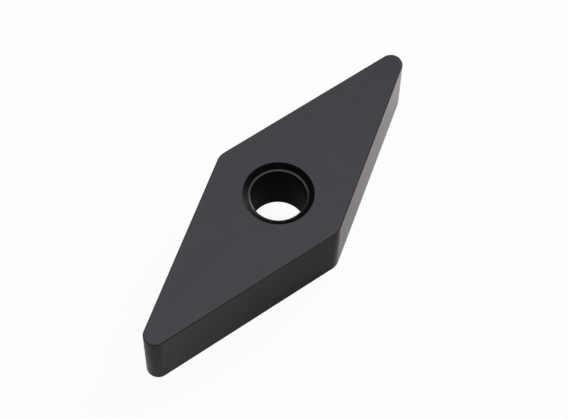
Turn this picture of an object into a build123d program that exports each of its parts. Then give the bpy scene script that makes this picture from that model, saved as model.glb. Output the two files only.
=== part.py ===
from build123d import *
import math
import os

# A rhombic turning insert with two flat faces and no chip former. It is pressed from carbide powder and
# sintered as one piece. Both faces and all four flanks are alike, so four noses can cut in turn.
# Sizes are in millimetres. The origin is on the hole's axis at the lower face, +X runs along the long
# diagonal to a cutting nose, and +Z points through the thickness to the upper face.

# Outline seen from above
inscribed_circle = 9.525
nose_angle = 35.0
nose_radius = 0.8
blunt_corner_radius = 1.2

# Thickness over the two flat faces, and the rounding of every cutting edge
thickness = 4.76
edge_hone = 0.08

# Hole for the lock pin, with the same mouth in each face: a steep cone, then a narrow land that falls
# slightly towards the bore, where the two halves of the pressing tool met the core rod. The lip between
# land and bore is rounded.
bore_diameter = 3.81
land_width = 0.15
land_fall = 0.035
lip_rounding = 0.04
cone_width = 0.35
cone_depth = 0.31


def sharp_rhombus():
    """Four straight sides that touch the inscribed circle, with the long diagonal along X."""
    half_angle = math.radians(nose_angle / 2)
    half_length = inscribed_circle / 2 / math.sin(half_angle)
    half_width = inscribed_circle / 2 / math.cos(half_angle)
    return Polygon((half_length, 0), (0, half_width), (-half_length, 0), (0, -half_width))


def insert_outline():
    """The rhombus with its noses and blunt corners rounded by tangent arcs."""
    outline = sharp_rhombus()
    blunt_corners = outline.vertices().group_by(Axis.X)[1]
    outline = fillet(blunt_corners, blunt_corner_radius)
    along_x = outline.vertices().sort_by(Axis.X)
    return fillet([along_x[0], along_x[-1]], nose_radius)


def pressed_blank():
    """The outline at full thickness, with both rims honed all the way round."""
    blank = extrude(insert_outline(), thickness)
    flat_faces = blank.faces().filter_by(Axis.Z)
    return fillet(flat_faces.edges(), edge_hone)


def lock_pin_hole():
    """The space of the hole, turned about Z: lower mouth, bore and upper mouth."""
    bore_radius = bore_diameter / 2
    land_radius = bore_radius + land_width
    mouth_radius = land_radius + cone_width
    lower_mouth = [
        (mouth_radius, 0),
        (land_radius, cone_depth),
        (bore_radius, cone_depth + land_fall),
    ]
    upper_mouth = [(radius, thickness - depth) for radius, depth in reversed(lower_mouth)]
    section = make_face(Polyline((0, 0), *lower_mouth, *upper_mouth, (0, thickness), close=True))
    lips = section.vertices().group_by(Axis.X)[1]
    section = fillet(lips, lip_rounding)
    return revolve(Plane.XZ * section, Axis.Z)


insert_body = pressed_blank() - lock_pin_hole()
insert_body.label = "insert_body"

os.makedirs("parts", exist_ok=True)
export_step(insert_body, "parts/insert_body.step")
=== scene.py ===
import math

import bpy
from bpy.props import FloatProperty, FloatVectorProperty, PointerProperty
from mathutils import Matrix, Vector


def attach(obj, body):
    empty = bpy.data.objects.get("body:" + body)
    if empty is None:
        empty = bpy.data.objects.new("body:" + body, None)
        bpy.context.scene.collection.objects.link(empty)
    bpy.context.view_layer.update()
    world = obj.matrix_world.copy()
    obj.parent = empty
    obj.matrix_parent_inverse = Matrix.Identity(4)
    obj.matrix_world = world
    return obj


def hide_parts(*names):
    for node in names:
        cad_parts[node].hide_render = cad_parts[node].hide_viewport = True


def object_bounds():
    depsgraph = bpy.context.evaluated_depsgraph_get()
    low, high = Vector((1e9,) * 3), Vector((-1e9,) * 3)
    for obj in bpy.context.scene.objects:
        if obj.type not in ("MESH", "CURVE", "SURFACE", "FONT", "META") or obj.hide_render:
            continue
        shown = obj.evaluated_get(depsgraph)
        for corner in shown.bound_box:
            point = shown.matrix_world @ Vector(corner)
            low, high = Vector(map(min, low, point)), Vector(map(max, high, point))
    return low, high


bl_info = {
    "name": "Rhombic Turning Insert",
    "version": (1, 0, 0),
    "blender": (4, 5, 0),
    "location": "3D View > Sidebar > Insert",
    "description": "Models a coated carbide turning insert and the plain studio it is shown in",
    "category": "Add Mesh",
}

# All lengths are metres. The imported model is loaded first, so that defaults below can come from it.
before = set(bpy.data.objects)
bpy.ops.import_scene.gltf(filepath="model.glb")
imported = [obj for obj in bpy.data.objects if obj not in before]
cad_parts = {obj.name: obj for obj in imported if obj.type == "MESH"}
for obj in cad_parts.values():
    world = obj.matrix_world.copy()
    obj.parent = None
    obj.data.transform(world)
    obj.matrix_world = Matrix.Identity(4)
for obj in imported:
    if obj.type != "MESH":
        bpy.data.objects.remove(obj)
CAD_LOW, CAD_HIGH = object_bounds()
CAD_NODE = "insert_body"
MM = 0.001
MICRON = 0.000001

# Mesh fineness: sides of a full circle, and rows across each rounded edge
CIRCLE_SIDES = 288
HONE_ROWS = 8
LIP_ROWS = 6
RIM_ROWS = 3
# How far the hole's cutting tool stands out of each face, so that no two surfaces coincide
TOOL_OVERRUN = 0.2 * MM
# Facets of the wrapped blank that meet at less than this are one flat
FLAT_ANGLE = math.radians(0.1)
# Faces that meet at less than this are shaded as one curve
CURVE_ANGLE = math.radians(22)
# The upright part of a normal above which a face counts as level
LEVEL = 0.9999
# A bevel profile that is a true arc
ROUND = 0.5
# How near a vertex lies to a ring that it belongs to, as a share of the land's width
RING_TOLERANCE = 1 / 20
# How far outside the mouth its broken rim may reach, as a share of the break
RIM_REACH = 1.5
# How far outside the bore a face of the lip may lie and still be finished like the bore
LIP_SLACK = 10 * MICRON

# The order of the finishes on the insert
FACE, FLANK, HONE, CONE, LAND, BORE = range(6)

# Soft noise mostly stays in this range, and where noises are multiplied, in the wider one
NOISE_SPREAD = (0.35, 0.65)
WORN_SPREAD = (0.3, 0.7)
# How finely a noise is broken up
PLAIN, BROKEN, RAGGED = 2.0, 3.0, 4.0

# Directions of the grinding wheel's two passes over a flat face
GRINDING_TURNS = (math.radians(24), math.radians(-31))
# How much of the flat faces' roughness the honing brush takes away at the cutting edge
BRUSHED_SHARE = 0.2
# Where the flanks' painted reflection starts to rise and their painted sheen starts, as shares of the
# way to a nose's centre
PAINTED_REFLECTION_START = 0.15
PAINTED_SHEEN_START = 0.7
PAINTED_SHEEN_ROUGHNESS = 0.5
PAINTED_SHEEN_TINT = (1.0, 0.94, 0.95, 1)
# Patches on the cutting edges and in the hole's mouths, as shares of the cloud size
EDGE_PATCH = 1 / 8
PRESSED_PATCH = 1 / 4
# Width of the brush's marks as a share of the mark width
BRUSH_MARK = 1 / 3
# Relief of each pattern as a share of the grain height
GRINDING_RELIEF = 0.5
FLANK_RELIEF = 0.5
BRUSH_RELIEF = 0.4
DRAWN_RELIEF = 0.7
PRESSED_RELIEF = 0.4

FLOOR_SIZE = 6.0
# Azimuth from +X and elevation in degrees, then distance from the insert and diameter in metres
OVERHEAD_LAMP = (35, 86, 0.45, 0.63)
SIDE_LAMP = (-5, 20, 0.4, 0.25)
# The pale wall fades into the room above it between these sines of the elevation
WALL_FADE = (0.1, 0.42)

# The photograph's camera: what it looks at, from where, and its roll in degrees
CAMERA_AIM = Vector((0.3323, -0.2449, 2.3791)) * MM
CAMERA_AZIMUTH = 215.54
CAMERA_ELEVATION = 59.65
CAMERA_ROLL = 1.263
CAMERA_DISTANCE = 122.01 * MM
CAMERA_LENS = 113.736
CAMERA_SENSOR = 36
CAMERA_NEAR = 0.01
CAMERA_FAR = 20


class InsertSizes(bpy.types.PropertyGroup):
    """Sizes of the insert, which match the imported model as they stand"""

    inscribed_circle: FloatProperty(
        name="Inscribed circle",
        description="Diameter of the circle that touches all four flanks",
        default=9.525 * MM, min=3 * MM, precision=5, unit="LENGTH", subtype="DISTANCE",
    )
    nose_angle: FloatProperty(
        name="Nose angle",
        description="Angle between the two flanks that meet at a cutting nose",
        default=math.radians(35), min=math.radians(20), max=math.radians(90), subtype="ANGLE",
    )
    nose_radius: FloatProperty(
        name="Nose radius",
        description="Rounding of the two cutting noses",
        default=0.8 * MM, min=0.1 * MM, precision=5, unit="LENGTH", subtype="DISTANCE",
    )
    blunt_radius: FloatProperty(
        name="Blunt corner radius",
        description="Rounding of the two blunt corners",
        default=1.2 * MM, min=0.1 * MM, precision=5, unit="LENGTH", subtype="DISTANCE",
    )
    thickness: FloatProperty(
        name="Thickness",
        description="Height between the two flat faces",
        default=CAD_HIGH.z - CAD_LOW.z, min=1 * MM, precision=5, unit="LENGTH", subtype="DISTANCE",
    )
    hone: FloatProperty(
        name="Edge hone",
        description="Radius of the rounded cutting edge, all round both faces",
        default=0.08 * MM, min=0.01 * MM, precision=5, unit="LENGTH", subtype="DISTANCE",
    )
    bore_diameter: FloatProperty(
        name="Bore diameter",
        description="Diameter of the hole that the lock pin passes through",
        default=3.81 * MM, min=1 * MM, precision=5, unit="LENGTH", subtype="DISTANCE",
    )
    land_width: FloatProperty(
        name="Land width",
        description="Width of the narrow ring between the bore and the cone of its mouth",
        default=0.15 * MM, min=0.02 * MM, precision=5, unit="LENGTH", subtype="DISTANCE",
    )
    land_fall: FloatProperty(
        name="Land fall",
        description="How much deeper the land lies at the bore than at the cone",
        default=0.035 * MM, min=0.0, precision=5, unit="LENGTH", subtype="DISTANCE",
    )
    lip_rounding: FloatProperty(
        name="Lip rounding",
        description="Radius between the land and the bore",
        default=0.04 * MM, min=0.002 * MM, precision=5, unit="LENGTH", subtype="DISTANCE",
    )
    cone_width: FloatProperty(
        name="Cone width",
        description="Width of the steep cone at the hole's mouth, seen from above",
        default=0.35 * MM, min=0.02 * MM, precision=5, unit="LENGTH", subtype="DISTANCE",
    )
    cone_depth: FloatProperty(
        name="Cone depth",
        description="Depth of the cone below the flat face",
        default=0.31 * MM, min=0.02 * MM, precision=5, unit="LENGTH", subtype="DISTANCE",
    )
    rim_break: FloatProperty(
        name="Rim break",
        description="Tiny rounding that tumbling leaves where the cone meets the flat face",
        default=0.02 * MM, min=0.002 * MM, precision=5, unit="LENGTH", subtype="DISTANCE",
    )


class InsertFinish(bpy.types.PropertyGroup):
    """Colours, roughness and grain of the coating"""

    face_dark: FloatVectorProperty(
        name="Flat face, dark grain",
        description="Darker of the two tones in the grain of the flat faces",
        default=(0.0086, 0.0060, 0.0122), min=0.0, max=1.0, precision=4, subtype="COLOR",
    )
    face_light: FloatVectorProperty(
        name="Flat face, light grain",
        description="Lighter of the two tones in the grain of the flat faces",
        default=(0.0124, 0.0088, 0.0170), min=0.0, max=1.0, precision=4, subtype="COLOR",
    )
    cloud_dark: FloatVectorProperty(
        name="Flat face, dark sheen",
        description="Tint of the flat faces' shine where the coating clouds over",
        default=(0.955, 0.935, 0.975), min=0.0, max=1.0, precision=3, subtype="COLOR",
    )
    cloud_light: FloatVectorProperty(
        name="Flat face, light sheen",
        description="Tint of the flat faces' shine where the coating is clear",
        default=(1.0, 0.965, 1.0), min=0.0, max=1.0, precision=3, subtype="COLOR",
    )
    flank_dark: FloatVectorProperty(
        name="Flank, dark tone",
        description="Darker of the two tones of the flanks",
        default=(0.0068, 0.0060, 0.0067), min=0.0, max=1.0, precision=4, subtype="COLOR",
    )
    flank_light: FloatVectorProperty(
        name="Flank, light tone",
        description="Lighter of the two tones of the flanks",
        default=(0.0108, 0.0090, 0.0104), min=0.0, max=1.0, precision=4, subtype="COLOR",
    )
    edge_dark: FloatVectorProperty(
        name="Honed edge",
        description="Colour of the brushed cutting edges",
        default=(0.0045, 0.0042, 0.0055), min=0.0, max=1.0, precision=4, subtype="COLOR",
    )
    edge_worn: FloatVectorProperty(
        name="Honed edge, worn",
        description="Colour of the small patches where the brush wore the cutting edges brighter",
        default=(0.0100, 0.0090, 0.0110), min=0.0, max=1.0, precision=4, subtype="COLOR",
    )
    # The hole's two near-black tones are painted shade of the hole's recess
    hole_dark_painted_shade: FloatVectorProperty(
        name="Hole, dark tone",
        description="Darker of the two tones in the hole",
        default=(0.0012, 0.0010, 0.0019), min=0.0, max=1.0, precision=4, subtype="COLOR",
    )
    hole_light_painted_shade: FloatVectorProperty(
        name="Hole, light tone",
        description="Lighter of the two tones in the hole",
        default=(0.0026, 0.0022, 0.0036), min=0.0, max=1.0, precision=4, subtype="COLOR",
    )
    face_roughness: FloatProperty(
        name="Flat face roughness",
        description="How widely the flat faces spread their shine",
        default=0.28, min=0.02, max=1.0, subtype="FACTOR",
    )
    flank_roughness: FloatProperty(
        name="Flank roughness",
        description="How widely the flanks spread their shine",
        default=0.13, min=0.02, max=1.0, subtype="FACTOR",
    )
    flank_mirror: FloatProperty(
        name="Flank mirror",
        description="How strongly the flanks mirror what faces them, beside the blunt corners",
        default=0.03, min=0.0, max=1.0, subtype="FACTOR",
    )
    # The stronger mirror at the noses is a painted reflection
    nose_mirror_painted_reflection: FloatProperty(
        name="Nose mirror",
        description="How strongly the flanks mirror what faces them, at the noses",
        default=0.08, min=0.0, max=1.0, subtype="FACTOR",
    )
    # Strength of the painted sheen on the flanks towards the noses
    nose_painted_sheen: FloatProperty(
        name="Nose paleness",
        description="How much of a pale bloom the coating gets on the flanks towards the noses",
        default=0.03, min=0.0, max=1.0, subtype="FACTOR",
    )
    nose_dullness: FloatProperty(
        name="Nose dullness",
        description="How much rougher the coating is round the noses than on the flanks",
        default=0.15, min=0.0, max=1.0, subtype="FACTOR",
    )
    edge_roughness: FloatProperty(
        name="Honed edge roughness",
        description="How widely the cutting edges spread their shine",
        default=0.30, min=0.02, max=1.0, subtype="FACTOR",
    )
    edge_mirror: FloatProperty(
        name="Honed edge mirror",
        description="How strongly the cutting edges mirror what faces them",
        default=0.25, min=0.0, max=1.0, subtype="FACTOR",
    )
    cone_roughness: FloatProperty(
        name="Cone roughness",
        description="How widely the cones of the hole's mouths spread their shine",
        default=0.45, min=0.02, max=1.0, subtype="FACTOR",
    )
    # A weak mirror in the cones paints in the shade of the hole's mouth
    cone_mirror_painted_shade: FloatProperty(
        name="Cone mirror",
        description="How strongly the cones of the hole's mouths mirror what faces them",
        default=0.035, min=0.0, max=1.0, subtype="FACTOR",
    )
    land_roughness: FloatProperty(
        name="Land roughness",
        description="How widely the lands spread their shine",
        default=0.25, min=0.02, max=1.0, subtype="FACTOR",
    )
    land_mirror: FloatProperty(
        name="Land mirror",
        description="How strongly the lands mirror what faces them",
        default=0.5, min=0.0, max=1.0, subtype="FACTOR",
    )
    bore_roughness: FloatProperty(
        name="Bore roughness",
        description="How widely the bore spreads its shine",
        default=0.50, min=0.02, max=1.0, subtype="FACTOR",
    )
    # A weak mirror in the bore paints in the shade deep in the hole
    bore_mirror_painted_shade: FloatProperty(
        name="Bore mirror",
        description="How strongly the bore mirrors what faces it",
        default=0.03, min=0.0, max=1.0, subtype="FACTOR",
    )
    cloud_size: FloatProperty(
        name="Cloud size",
        description="Size of the faint patches in the coating's tint",
        default=2.4 * MM, min=0.1 * MM, precision=5, unit="LENGTH", subtype="DISTANCE",
    )
    grain_size: FloatProperty(
        name="Grain size",
        description="Size of the coating's fine grain",
        default=0.08 * MM, min=0.005 * MM, precision=6, unit="LENGTH", subtype="DISTANCE",
    )
    grain_height: FloatProperty(
        name="Grain height",
        description="Height of the coating's fine grain",
        default=1.0 * MICRON, min=0.0, precision=6, unit="LENGTH", subtype="DISTANCE",
    )
    mark_length: FloatProperty(
        name="Mark length",
        description="Length of the faint marks that grinding and pressing leave under the coating",
        default=3.0 * MM, min=0.1 * MM, precision=5, unit="LENGTH", subtype="DISTANCE",
    )
    mark_width: FloatProperty(
        name="Mark width",
        description="Width of the faint marks that grinding and pressing leave under the coating",
        default=0.08 * MM, min=0.005 * MM, precision=6, unit="LENGTH", subtype="DISTANCE",
    )
    brushed_width: FloatProperty(
        name="Brushed band",
        description="Width of the band beside the cutting edges that the honing brush smooths",
        default=0.6 * MM, min=0.01 * MM, precision=5, unit="LENGTH", subtype="DISTANCE",
    )


class InsertStudio(bpy.types.PropertyGroup):
    """Floor, light and camera"""

    floor_colour: FloatVectorProperty(
        name="Floor",
        description="Colour of the paper that the insert lies on",
        default=(0.75, 0.69, 0.70), min=0.0, max=1.0, size=3, subtype="COLOR",
    )
    floor_white: FloatProperty(
        name="White in view",
        description="Share of white in the floor as the camera sees it; the rest keeps the shadow",
        default=0.95, min=0.0, max=1.0, subtype="FACTOR",
    )
    floor_white_mirrored: FloatProperty(
        name="White in gloss",
        description="Share of white in the floor as glossy surfaces mirror it",
        default=0.26, min=0.0, max=1.0, subtype="FACTOR",
    )
    overhead_radiance: FloatProperty(
        name="Overhead lamp",
        description="Brightness of the large round lamp's face, where 1 looks white",
        default=1.18, min=0.0,
    )
    side_radiance: FloatProperty(
        name="Side lamp",
        description="Brightness of the small round lamp's face, where 1 looks white",
        default=13.0, min=0.0,
    )
    horizon_light: FloatProperty(
        name="Horizon",
        description="Brightness of the pale wall all round, low above the floor",
        default=0.9, min=0.0,
    )
    upper_light: FloatProperty(
        name="Upper room",
        description="Brightness of the room above the pale wall",
        default=0.25, min=0.0,
    )


def deselect_everything():
    bpy.ops.object.select_all(action="DESELECT")


def make_active(piece):
    deselect_everything()
    piece.select_set(True)
    bpy.context.view_layer.objects.active = piece


def radius_of(point):
    return math.hypot(point.x, point.y)


def depth_of(point, sizes):
    """Distance below the nearer flat face."""
    return min(point.z, sizes.thickness - point.z)


def hole_radii(sizes):
    """Radii of the bore, the land's outer edge and the mouth."""
    bore_radius = sizes.bore_diameter / 2
    land_radius = bore_radius + sizes.land_width
    return bore_radius, land_radius, land_radius + sizes.cone_width


def lip_length(sizes):
    """How far the lip's rounding reaches along the land and the bore from their meeting edge."""
    turn = math.pi / 2 - math.atan2(sizes.land_fall, sizes.land_width)
    return sizes.lip_rounding * math.tan(turn / 2)


def corner_posts(sizes):
    """Four round posts that stand where the noses and blunt corners have their centres."""
    half_angle = sizes.nose_angle / 2
    circle_radius = sizes.inscribed_circle / 2
    nose_reach = (circle_radius - sizes.nose_radius) / math.sin(half_angle)
    blunt_reach = (circle_radius - sizes.blunt_radius) / math.cos(half_angle)
    places = [
        (sizes.nose_radius, nose_reach, 0),
        (sizes.nose_radius, -nose_reach, 0),
        (sizes.blunt_radius, 0, blunt_reach),
        (sizes.blunt_radius, 0, -blunt_reach),
    ]
    posts = []
    for radius, x, y in places:
        deselect_everything()
        bpy.ops.mesh.primitive_cylinder_add(
            vertices=CIRCLE_SIDES, radius=radius, depth=sizes.thickness,
            location=(x, y, sizes.thickness / 2),
        )
        posts.append(bpy.context.active_object)
    return posts


def wrap_posts(posts):
    """One skin drawn tight round the posts gives the rounded rhombus at its full thickness."""
    deselect_everything()
    for post in posts:
        post.select_set(True)
    blank = posts[0]
    bpy.context.view_layer.objects.active = blank
    bpy.ops.object.join()
    bpy.ops.object.transform_apply(location=True, rotation=True, scale=True)
    blank.name = "turning_insert"
    bpy.ops.object.mode_set(mode="EDIT")
    bpy.ops.mesh.select_all(action="SELECT")
    bpy.ops.mesh.convex_hull()
    bpy.ops.mesh.select_all(action="SELECT")
    bpy.ops.mesh.dissolve_limited(angle_limit=FLAT_ANGLE)
    bpy.ops.object.mode_set(mode="OBJECT")
    return blank


def hone_edges(blank, sizes):
    """Rounds the rim of both flat faces."""
    make_active(blank)
    bpy.ops.object.mode_set(mode="EDIT")
    bpy.ops.mesh.select_mode(type="FACE")
    bpy.ops.mesh.select_all(action="DESELECT")
    bpy.ops.object.mode_set(mode="OBJECT")
    for face in blank.data.polygons:
        face.select = abs(face.normal.z) > LEVEL
    bpy.ops.object.mode_set(mode="EDIT")
    bpy.ops.mesh.region_to_loop()
    bpy.ops.mesh.bevel(offset=sizes.hone, segments=HONE_ROWS, profile=ROUND, affect="EDGES")
    bpy.ops.object.mode_set(mode="OBJECT")


def hole_tool(sizes):
    """The solid that cuts the hole: a disc drawn down through one mouth, the bore and the other."""
    bore_radius, land_radius, mouth_radius = hole_radii(sizes)
    slope = sizes.cone_width / sizes.cone_depth
    mouth = [
        (mouth_radius + slope * TOOL_OVERRUN, -TOOL_OVERRUN),
        (land_radius, sizes.cone_depth),
        (bore_radius, sizes.cone_depth + sizes.land_fall),
    ]
    profile = [(radius, sizes.thickness - depth) for radius, depth in mouth]
    profile += [(radius, depth) for radius, depth in reversed(mouth)]
    radius, height = profile[0]
    deselect_everything()
    bpy.ops.mesh.primitive_circle_add(
        vertices=CIRCLE_SIDES, radius=radius, fill_type="NGON", location=(0, 0, height),
    )
    tool = bpy.context.active_object
    bpy.ops.object.transform_apply(location=True, rotation=True, scale=True)
    bpy.ops.object.mode_set(mode="EDIT")
    bpy.ops.mesh.select_all(action="SELECT")
    for next_radius, next_height in profile[1:]:
        bpy.ops.mesh.extrude_region_move(
            TRANSFORM_OT_translate={"value": (0, 0, next_height - height)},
        )
        growth = next_radius / radius
        bpy.ops.transform.resize(value=(growth, growth, 1), center_override=(0, 0, next_height))
        radius, height = next_radius, next_height
    bpy.ops.mesh.select_all(action="SELECT")
    bpy.ops.mesh.normals_make_consistent(inside=False)
    bpy.ops.object.mode_set(mode="OBJECT")
    return tool


def cut_hole(blank, sizes):
    tool = hole_tool(sizes)
    make_active(blank)
    bpy.ops.object.modifier_add(type="BOOLEAN")
    cut = blank.modifiers[-1]
    cut.operation = "DIFFERENCE"
    cut.solver = "EXACT"
    cut.object = tool
    bpy.ops.object.modifier_apply(modifier=cut.name)
    bpy.data.objects.remove(tool)


def round_rings(blank, sizes, radius, depth, offset, rows):
    """Rounds the two ring-shaped edges of this radius, one at this depth below each flat face."""
    tolerance = sizes.land_width * RING_TOLERANCE

    def on_a_ring(point):
        beside = abs(radius_of(point) - radius)
        above = abs(depth_of(point, sizes) - depth)
        return max(beside, above) < tolerance

    make_active(blank)
    bpy.ops.object.mode_set(mode="EDIT")
    bpy.ops.mesh.select_mode(type="EDGE")
    bpy.ops.mesh.select_all(action="DESELECT")
    bpy.ops.object.mode_set(mode="OBJECT")
    vertices = blank.data.vertices
    for edge in blank.data.edges:
        start = vertices[edge.vertices[0]].co
        end = vertices[edge.vertices[1]].co
        level = abs(start.z - end.z) < tolerance
        edge.select = level and on_a_ring(start) and on_a_ring(end)
    bpy.ops.object.mode_set(mode="EDIT")
    bpy.ops.mesh.bevel(offset=offset, segments=rows, profile=ROUND, affect="EDGES")
    bpy.ops.object.mode_set(mode="OBJECT")


def round_hole_edges(blank, sizes):
    bore_radius, _, mouth_radius = hole_radii(sizes)
    lip_depth = sizes.cone_depth + sizes.land_fall
    round_rings(blank, sizes, bore_radius, lip_depth, lip_length(sizes), LIP_ROWS)
    round_rings(blank, sizes, mouth_radius, 0, sizes.rim_break, RIM_ROWS)


def fit_in_frame(piece):
    """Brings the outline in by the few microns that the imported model's own flats leave."""
    half_length = max(vertex.co.x for vertex in piece.data.vertices)
    half_width = max(vertex.co.y for vertex in piece.data.vertices)
    share = min(1.0, CAD_HIGH.x / half_length, CAD_HIGH.y / half_width)
    make_active(piece)
    bpy.ops.object.mode_set(mode="EDIT")
    bpy.ops.mesh.select_all(action="SELECT")
    bpy.ops.transform.resize(value=(share, share, 1), center_override=(0, 0, 0))
    bpy.ops.object.mode_set(mode="OBJECT")


def smooth_curves(piece):
    """Smooth over the curves, sharp at the true corners, and level across the flats."""
    make_active(piece)
    bpy.ops.object.shade_smooth_by_angle(angle=CURVE_ANGLE)
    bpy.ops.object.modifier_add(type="WEIGHTED_NORMAL")
    weighting = piece.modifiers[-1]
    weighting.keep_sharp = True
    bpy.ops.object.modifier_apply(modifier=weighting.name)


def new_finish(name):
    """A material with a plain shader, and the tree that its patterns go into."""
    material = bpy.data.materials.new(name)
    material.use_nodes = True
    tree = material.node_tree
    return material, tree, tree.nodes["Principled BSDF"]


def object_place(tree):
    """The place on the piece, in metres, that every pattern of the coating starts from."""
    return tree.nodes.new("ShaderNodeTexCoord").outputs["Object"]


def noise(tree, place, size, detail):
    """Soft random values around one half, in patches of this size."""
    texture = tree.nodes.new("ShaderNodeTexNoise")
    texture.inputs["Scale"].default_value = 1 / size
    texture.inputs["Detail"].default_value = detail
    tree.links.new(place, texture.inputs["Vector"])
    return texture.outputs["Fac"]


def drawn_out(tree, place, extent, detail, turn=0.0):
    """Soft random marks of this length, width and height, turned about Z."""
    space = tree.nodes.new("ShaderNodeMapping")
    space.vector_type = "TEXTURE"
    space.inputs["Rotation"].default_value = (0, 0, turn)
    space.inputs["Scale"].default_value = extent
    tree.links.new(place, space.inputs["Vector"])
    return noise(tree, space.outputs["Vector"], 1.0, detail)


def ranged(tree, value, start, end, low, high):
    """Eases from low to high while the value runs from start to end."""
    node = tree.nodes.new("ShaderNodeMapRange")
    node.interpolation_type = "SMOOTHSTEP"
    node.inputs["From Min"].default_value = start
    node.inputs["From Max"].default_value = end
    node.inputs["To Min"].default_value = low
    node.inputs["To Max"].default_value = high
    tree.links.new(value, node.inputs["Value"])
    return node.outputs["Result"]


def uneven(tree, pattern, roughness, dull, bright, spread=NOISE_SPREAD):
    """Roughness that falls from its dull share to its bright share as the pattern rises."""
    return ranged(tree, pattern, *spread, roughness * dull, roughness * bright)


def combined(tree, operation, first, second):
    """Two values, or a value and a number, put together."""
    node = tree.nodes.new("ShaderNodeMath")
    node.operation = operation
    tree.links.new(first, node.inputs[0])
    if isinstance(second, float):
        node.inputs[1].default_value = second
    else:
        tree.links.new(second, node.inputs[1])
    return node.outputs["Value"]


def averaged(tree, first, second):
    return combined(tree, "MULTIPLY", combined(tree, "ADD", first, second), 0.5)


def two_tones(tree, value, dark, light):
    """Runs from the dark tone to the light one as the value rises."""
    ramp = tree.nodes.new("ShaderNodeValToRGB")
    first, last = ramp.color_ramp.elements
    first.position, last.position = NOISE_SPREAD
    first.color = (*dark, 1)
    last.color = (*light, 1)
    tree.links.new(value, ramp.inputs["Fac"])
    return ramp.outputs["Color"]


def raised(tree, value, height, below=None):
    """Relief of this height, laid over the relief below it."""
    bump = tree.nodes.new("ShaderNodeBump")
    bump.inputs["Strength"].default_value = 1.0
    bump.inputs["Distance"].default_value = height
    tree.links.new(value, bump.inputs["Height"])
    if below is not None:
        tree.links.new(below, bump.inputs["Normal"])
    return bump.outputs["Normal"]


def from_middle(tree, place, axis):
    """Distance from the insert's middle along this axis, the same towards either end."""
    parts = tree.nodes.new("ShaderNodeSeparateXYZ")
    tree.links.new(place, parts.inputs["Vector"])
    return combined(tree, "ABSOLUTE", parts.outputs[axis], 0.0)


def brushed_band(tree, place, look, sizes):
    """Is 1 at the cutting edge of a flat face, and fades to 0 where the brush no longer reached."""
    half_angle = sizes.nose_angle / 2
    along = combined(tree, "MULTIPLY", from_middle(tree, place, "X"), math.sin(half_angle))
    across = combined(tree, "MULTIPLY", from_middle(tree, place, "Y"), math.cos(half_angle))
    towards_flank = combined(tree, "ADD", along, across)
    edge = sizes.inscribed_circle / 2
    return ranged(tree, towards_flank, edge - look.brushed_width, edge, 0.0, 1.0)


def ground_face_finish(look, sizes):
    """Flat faces: a clouded violet tint, fine grain and faint crossing marks of the grinding."""
    material, tree, shader = new_finish("ground_face")
    place = object_place(tree)
    clouds = noise(tree, place, look.cloud_size, RAGGED)
    grain = noise(tree, place, look.grain_size, PLAIN)
    mark = (look.mark_length, look.mark_width, look.mark_length)
    passes = [drawn_out(tree, place, mark, PLAIN, turn) for turn in GRINDING_TURNS]
    marks = combined(tree, "ADD", *passes)
    colour = two_tones(tree, grain, look.face_dark, look.face_light)
    shine = two_tones(tree, clouds, look.cloud_dark, look.cloud_light)
    worn = combined(tree, "MULTIPLY", marks, clouds)
    roughness = uneven(tree, worn, look.face_roughness, dull=1.06, bright=0.94, spread=WORN_SPREAD)
    brushed = brushed_band(tree, place, look, sizes)
    smoother = combined(tree, "MULTIPLY", brushed, look.face_roughness * BRUSHED_SHARE)
    relief = raised(tree, grain, look.grain_height)
    relief = raised(tree, marks, look.grain_height * GRINDING_RELIEF, relief)
    tree.links.new(colour, shader.inputs["Base Color"])
    tree.links.new(shine, shader.inputs["Specular Tint"])
    tree.links.new(combined(tree, "SUBTRACT", roughness, smoother), shader.inputs["Roughness"])
    tree.links.new(relief, shader.inputs["Normal"])
    return material


def flank_finish(look, sizes):
    """Flanks: fine streaks along the cutting edges, and a painted reflection that strengthens towards
    the noses.

    Round the noses themselves the coating gets a painted sheen and is duller.
    """
    material, tree, shader = new_finish("flank")
    place = object_place(tree)
    clouds = noise(tree, place, look.cloud_size, BROKEN)
    grain = noise(tree, place, look.grain_size, PLAIN)
    streak = (look.mark_length, look.mark_length, look.mark_width)
    streaks = drawn_out(tree, place, streak, BROKEN)
    tone = averaged(tree, clouds, streaks)
    colour = two_tones(tree, tone, look.flank_dark, look.flank_light)

    along = from_middle(tree, place, "X")
    half_angle = sizes.nose_angle / 2
    nose_centre = (sizes.inscribed_circle / 2 - sizes.nose_radius) / math.sin(half_angle)
    tip = nose_centre + sizes.nose_radius
    # The flanks' mirror strength rises towards the noses, a painted reflection of brighter
    # surroundings there
    painted_reflection_start = nose_centre * PAINTED_REFLECTION_START
    mirror = ranged(tree, along, painted_reflection_start, nose_centre, look.flank_mirror, look.nose_mirror_painted_reflection)
    # A painted sheen on the flanks, rising towards each tip
    towards_tip = ranged(tree, along, nose_centre * PAINTED_SHEEN_START, tip, 0.0, 1.0)
    built_up = combined(tree, "MULTIPLY", towards_tip, towards_tip)
    painted_sheen = combined(tree, "MULTIPLY", built_up, look.nose_painted_sheen)
    roughness = uneven(tree, tone, look.flank_roughness, dull=1.15, bright=0.85)
    duller = ranged(tree, along, nose_centre, tip, 0.0, look.nose_dullness)
    relief = raised(tree, grain, look.grain_height * FLANK_RELIEF)
    relief = raised(tree, streaks, look.grain_height * FLANK_RELIEF, relief)

    tree.links.new(colour, shader.inputs["Base Color"])
    tree.links.new(combined(tree, "ADD", roughness, duller), shader.inputs["Roughness"])
    tree.links.new(mirror, shader.inputs["Specular IOR Level"])
    tree.links.new(painted_sheen, shader.inputs["Sheen Weight"])
    shader.inputs["Sheen Roughness"].default_value = PAINTED_SHEEN_ROUGHNESS
    shader.inputs["Sheen Tint"].default_value = PAINTED_SHEEN_TINT
    tree.links.new(relief, shader.inputs["Normal"])
    return material


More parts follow.
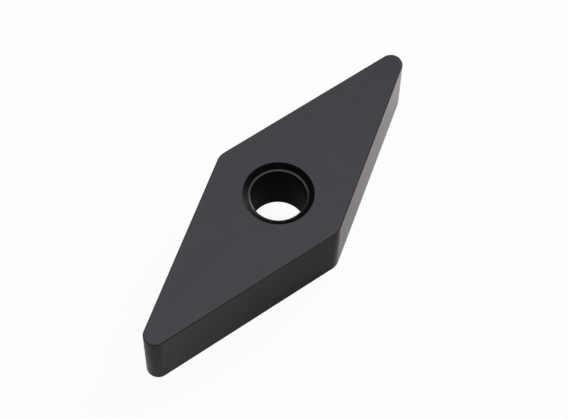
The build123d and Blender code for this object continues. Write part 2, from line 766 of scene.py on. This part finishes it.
def honed_edge_finish(look):
    """Cutting edges: brushed, with small patches where the brush wore the coating brighter."""
    material, tree, shader = new_finish("honed_edge")
    place = object_place(tree)
    patches = noise(tree, place, look.cloud_size * EDGE_PATCH, RAGGED)
    stroke = (look.mark_length, look.mark_length, look.mark_width * BRUSH_MARK)
    strokes = drawn_out(tree, place, stroke, PLAIN)
    colour = two_tones(tree, patches, look.edge_dark, look.edge_worn)
    roughness = uneven(tree, patches, look.edge_roughness, dull=1.1, bright=0.85)
    relief = raised(tree, strokes, look.grain_height * BRUSH_RELIEF)
    tree.links.new(colour, shader.inputs["Base Color"])
    tree.links.new(roughness, shader.inputs["Roughness"])
    shader.inputs["Specular IOR Level"].default_value = look.edge_mirror
    tree.links.new(relief, shader.inputs["Normal"])
    return material


def bore_finish(look):
    """Bore: drawn along the core rod of the pressing; its near-black tone and weak mirror are painted
    shade deep in the hole.
    """
    material, tree, shader = new_finish("bore_painted_shade")
    place = object_place(tree)
    line = (look.mark_width, look.mark_width, look.mark_length)
    lines = drawn_out(tree, place, line, BROKEN)
    grain = noise(tree, place, look.grain_size, BROKEN)
    tone = averaged(tree, lines, grain)
    colour = two_tones(tree, tone, look.hole_dark_painted_shade, look.hole_light_painted_shade)
    roughness = uneven(tree, tone, look.bore_roughness, dull=1.1, bright=0.9)
    relief = raised(tree, grain, look.grain_height)
    relief = raised(tree, lines, look.grain_height * DRAWN_RELIEF, relief)
    tree.links.new(colour, shader.inputs["Base Color"])
    tree.links.new(roughness, shader.inputs["Roughness"])
    shader.inputs["Specular IOR Level"].default_value = look.bore_mirror_painted_shade
    tree.links.new(relief, shader.inputs["Normal"])
    return material


def pressed_finish(name, look, mean_roughness, mirror):
    """Cones and lands: as even as the polished pressing tool that made them, with near-black tones
    that are painted shade of the hole's mouth.
    """
    material, tree, shader = new_finish(name)
    place = object_place(tree)
    grain = noise(tree, place, look.grain_size, PLAIN)
    patches = noise(tree, place, look.cloud_size * PRESSED_PATCH, BROKEN)
    colour = two_tones(tree, patches, look.hole_dark_painted_shade, look.hole_light_painted_shade)
    roughness = uneven(tree, patches, mean_roughness, dull=1.1, bright=0.9)
    relief = raised(tree, grain, look.grain_height * PRESSED_RELIEF)
    tree.links.new(colour, shader.inputs["Base Color"])
    tree.links.new(roughness, shader.inputs["Roughness"])
    shader.inputs["Specular IOR Level"].default_value = mirror
    tree.links.new(relief, shader.inputs["Normal"])
    return material


def finish_of(face, sizes):
    """The finish that belongs on this face of the mesh."""
    bore_radius, _, mouth_radius = hole_radii(sizes)
    radius = radius_of(face.center)
    depth = depth_of(face.center, sizes)
    if abs(face.normal.z) > LEVEL:
        return FACE
    if radius > mouth_radius + sizes.rim_break * RIM_REACH:
        return HONE if depth < sizes.hone else FLANK
    if depth < sizes.cone_depth:
        return CONE
    return LAND if radius > bore_radius + LIP_SLACK else BORE


def coat(body, sizes, look):
    """Lays each finish on its own faces."""
    finishes = {
        FACE: ground_face_finish(look, sizes),
        FLANK: flank_finish(look, sizes),
        HONE: honed_edge_finish(look),
        CONE: pressed_finish("cone_painted_shade", look, look.cone_roughness, look.cone_mirror_painted_shade),
        LAND: pressed_finish("pressed_land", look, look.land_roughness, look.land_mirror),
        BORE: bore_finish(look),
    }
    for index in sorted(finishes):
        body.data.materials.append(finishes[index])
    for face in body.data.polygons:
        face.material_index = finish_of(face, sizes)


class INSERT_OT_body(bpy.types.Operator):
    """Model and coat the insert: blank, honed edges and lock pin hole"""

    bl_idname = "insert.body"
    bl_label = "Insert Body"

    def execute(self, context):
        sizes = context.scene.insert_sizes
        body = wrap_posts(corner_posts(sizes))
        hone_edges(body, sizes)
        cut_hole(body, sizes)
        round_hole_edges(body, sizes)
        fit_in_frame(body)
        smooth_curves(body)
        coat(body, sizes, context.scene.insert_finish)
        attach(body, "root")
        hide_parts(CAD_NODE)
        return {"FINISHED"}


def floor_paper(studio):
    """Matt pale paper that looks nearly white to the camera and still keeps the insert's shadow."""
    material, tree, shader = new_finish("floor_paper")
    tree.nodes.remove(shader)
    paper = tree.nodes.new("ShaderNodeBsdfDiffuse")
    paper.inputs["Color"].default_value = (*studio.floor_colour, 1)
    white = tree.nodes.new("ShaderNodeEmission")
    rays = tree.nodes.new("ShaderNodeLightPath").outputs
    seen = combined(tree, "MAXIMUM", rays["Is Camera Ray"], rays["Is Transmission Ray"])
    seen_share = combined(tree, "MULTIPLY", seen, studio.floor_white)
    mirrored = rays["Is Glossy Ray"]
    mirrored_share = combined(tree, "MULTIPLY", mirrored, studio.floor_white_mirrored)
    share = combined(tree, "MAXIMUM", seen_share, mirrored_share)
    blend = tree.nodes.new("ShaderNodeMixShader")
    tree.links.new(share, blend.inputs["Fac"])
    tree.links.new(paper.outputs["BSDF"], blend.inputs[1])
    tree.links.new(white.outputs["Emission"], blend.inputs[2])
    tree.links.new(blend.outputs["Shader"], tree.nodes["Material Output"].inputs["Surface"])
    return material


def add_floor(studio):
    deselect_everything()
    bpy.ops.mesh.primitive_plane_add(size=FLOOR_SIZE, location=(0, 0, 0))
    floor = bpy.context.active_object
    floor.name = "floor"
    floor.data.materials.append(floor_paper(studio))


def direction(azimuth, elevation):
    """Unit vector at this azimuth from +X and this elevation above the floor, both in degrees."""
    around = math.radians(azimuth)
    above = math.radians(elevation)
    level = math.cos(above)
    return Vector((level * math.cos(around), level * math.sin(around), math.sin(above)))


def add_round_lamp(name, lamp_place, radiance):
    """A round lamp with an evenly bright face that looks at the middle of the insert."""
    azimuth, elevation, distance, diameter = lamp_place
    towards = direction(azimuth, elevation)
    deselect_everything()
    bpy.ops.object.light_add(type="AREA", location=towards * distance)
    lamp = bpy.context.active_object
    lamp.name = name
    lamp.data.shape = "DISK"
    lamp.data.size = diameter
    face_area = math.pi * diameter * diameter / 4
    # An evenly bright face gives off pi times its radiance from each square metre
    lamp.data.energy = radiance * math.pi * face_area
    lamp.rotation_mode = "QUATERNION"
    lamp.rotation_quaternion = (-towards).to_track_quat("-Z", "Y")


def add_room(scene, studio):
    """Pale walls low all round, and a dim room above them."""
    room = bpy.data.worlds.new("room")
    room.use_nodes = True
    scene.world = room
    tree = room.node_tree
    view = tree.nodes.new("ShaderNodeTexCoord").outputs["Generated"]
    facing = tree.nodes.new("ShaderNodeSeparateXYZ")
    tree.links.new(view, facing.inputs["Vector"])
    upwards = facing.outputs["Z"]
    light = ranged(tree, upwards, *WALL_FADE, studio.horizon_light, studio.upper_light)
    tree.links.new(light, tree.nodes["Background"].inputs["Color"])
    tree.nodes["Background"].inputs["Strength"].default_value = 1.0


def add_camera(scene):
    """Looks at the insert the way the photograph does."""
    forward = -direction(CAMERA_AZIMUTH, CAMERA_ELEVATION)
    roll = math.radians(CAMERA_ROLL)
    level = forward.cross(Vector((0, 0, 1))).normalized()
    upright = level.cross(forward)
    right = level * math.cos(roll) + upright * math.sin(roll)
    up = right.cross(forward)
    deselect_everything()
    bpy.ops.object.camera_add()
    camera = bpy.context.active_object
    camera.name = "photo_camera"
    camera.data.lens = CAMERA_LENS
    camera.data.sensor_width = CAMERA_SENSOR
    camera.data.clip_start = CAMERA_NEAR
    camera.data.clip_end = CAMERA_FAR
    turn = Matrix((right, up, -forward)).transposed().to_4x4()
    place = CAMERA_AIM - forward * CAMERA_DISTANCE
    camera.matrix_world = Matrix.Translation(place) @ turn
    scene.camera = camera


class INSERT_OT_stage(bpy.types.Operator):
    """Set up the floor, the lamps, the room and the camera"""

    bl_idname = "insert.stage"
    bl_label = "Studio"

    def execute(self, context):
        scene = context.scene
        studio = scene.insert_studio
        add_floor(studio)
        add_round_lamp("overhead_lamp", OVERHEAD_LAMP, studio.overhead_radiance)
        add_round_lamp("side_lamp", SIDE_LAMP, studio.side_radiance)
        add_room(scene, studio)
        add_camera(scene)
        scene.view_settings.view_transform = "Standard"
        return {"FINISHED"}


class VIEW3D_PT_insert(bpy.types.Panel):
    """Lists what a user would change, and the steps that make the insert and its studio"""

    bl_label = "Turning Insert"
    bl_idname = "VIEW3D_PT_insert"
    bl_space_type = "VIEW_3D"
    bl_region_type = "UI"
    bl_category = "Insert"

    def draw(self, context):
        scene = context.scene
        groups = (
            ("Sizes", scene.insert_sizes, InsertSizes),
            ("Finish", scene.insert_finish, InsertFinish),
            ("Studio", scene.insert_studio, InsertStudio),
        )
        for title, values, group in groups:
            box = self.layout.box()
            box.label(text=title)
            for name in group.__annotations__:
                box.prop(values, name)
        self.layout.operator(INSERT_OT_body.bl_idname)
        self.layout.operator(INSERT_OT_stage.bl_idname)


CLASSES = (
    InsertSizes, InsertFinish, InsertStudio, INSERT_OT_body, INSERT_OT_stage, VIEW3D_PT_insert,
)


def register():
    for cls in CLASSES:
        bpy.utils.register_class(cls)
    bpy.types.Scene.insert_sizes = PointerProperty(type=InsertSizes)
    bpy.types.Scene.insert_finish = PointerProperty(type=InsertFinish)
    bpy.types.Scene.insert_studio = PointerProperty(type=InsertStudio)


def unregister():
    del bpy.types.Scene.insert_studio
    del bpy.types.Scene.insert_finish
    del bpy.types.Scene.insert_sizes
    for cls in reversed(CLASSES):
        bpy.utils.unregister_class(cls)


def main():
    register()
    bpy.ops.insert.body()
    bpy.ops.insert.stage()


if __name__ == "__main__":
    main()
